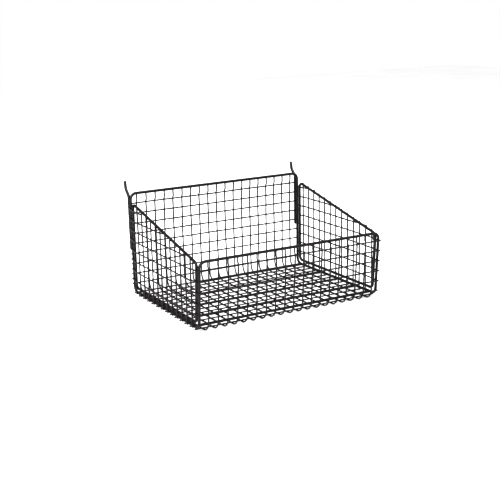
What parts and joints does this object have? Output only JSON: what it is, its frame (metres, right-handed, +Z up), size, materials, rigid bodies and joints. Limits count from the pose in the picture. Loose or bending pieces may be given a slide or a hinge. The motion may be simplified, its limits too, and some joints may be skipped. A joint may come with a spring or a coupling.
{
  "type": "wire mesh container",
  "caption": "Open wire mesh basket with sloping sides that hangs on a pegboard by two upturned hooks.",
  "frame": {"origin": "middle of the basket's footprint, hooks included, on the plane that its lowest wires rest on", "axes": "+X to the right seen from the front, +Y towards the board that it hangs on, +Z up"},
  "size_m": [0.2644, 0.2116, 0.1499],
  "materials": {
    "black_powder_coat": "satin black powder coat on steel wire"
  },
  "bodies": {
    "root": {"back_cross_wire_01": "black_powder_coat", "back_cross_wire_02": "black_powder_coat", "back_cross_wire_03": "black_powder_coat", "back_cross_wire_04": "black_powder_coat", "back_cross_wire_05": "black_powder_coat", "back_cross_wire_06": "black_powder_coat", "back_cross_wire_07": "black_powder_coat", "back_cross_wire_08": "black_powder_coat", "back_cross_wire_09": "black_powder_coat", "floor_cross_wire_01": "black_powder_coat", "floor_cross_wire_02": "black_powder_coat", "floor_cross_wire_03": "black_powder_coat", "floor_cross_wire_04": "black_powder_coat", "floor_cross_wire_05": "black_powder_coat", "floor_cross_wire_06": "black_powder_coat", "floor_cross_wire_07": "black_powder_coat", "floor_cross_wire_08": "black_powder_coat", "floor_cross_wire_09": "black_powder_coat", "floor_cross_wire_10": "black_powder_coat", "floor_cross_wire_11": "black_powder_coat", "floor_cross_wire_12": "black_powder_coat", "floor_cross_wire_13": "black_powder_coat", "floor_cross_wire_14": "black_powder_coat", "front_cross_wire_01": "black_powder_coat", "front_cross_wire_02": "black_powder_coat", "front_cross_wire_03": "black_powder_coat", "front_cross_wire_04": "black_powder_coat", "front_cross_wire_05": "black_powder_coat", "front_cross_wire_06": "black_powder_coat", "left_hook": "black_powder_coat", "left_side_frame": "black_powder_coat", "left_side_level_wires": "black_powder_coat", "left_side_uprights": "black_powder_coat", "lengthwise_wire_01": "black_powder_coat", "lengthwise_wire_02": "black_powder_coat", "lengthwise_wire_03": "black_powder_coat", "lengthwise_wire_04": "black_powder_coat", "lengthwise_wire_05": "black_powder_coat", "lengthwise_wire_06": "black_powder_coat", "lengthwise_wire_07": "black_powder_coat", "lengthwise_wire_08": "black_powder_coat", "lengthwise_wire_09": "black_powder_coat", "lengthwise_wire_10": "black_powder_coat", "lengthwise_wire_11": "black_powder_coat", "lengthwise_wire_12": "black_powder_coat", "lengthwise_wire_13": "black_powder_coat", "lengthwise_wire_14": "black_powder_coat", "lengthwise_wire_15": "black_powder_coat", "lengthwise_wire_16": "black_powder_coat", "lengthwise_wire_17": "black_powder_coat", "lengthwise_wire_18": "black_powder_coat", "lengthwise_wire_19": "black_powder_coat", "right_hook": "black_powder_coat", "right_side_frame": "black_powder_coat", "right_side_level_wires": "black_powder_coat", "right_side_uprights": "black_powder_coat", "rim_frame": "black_powder_coat"}
  },
  "joints": []
}
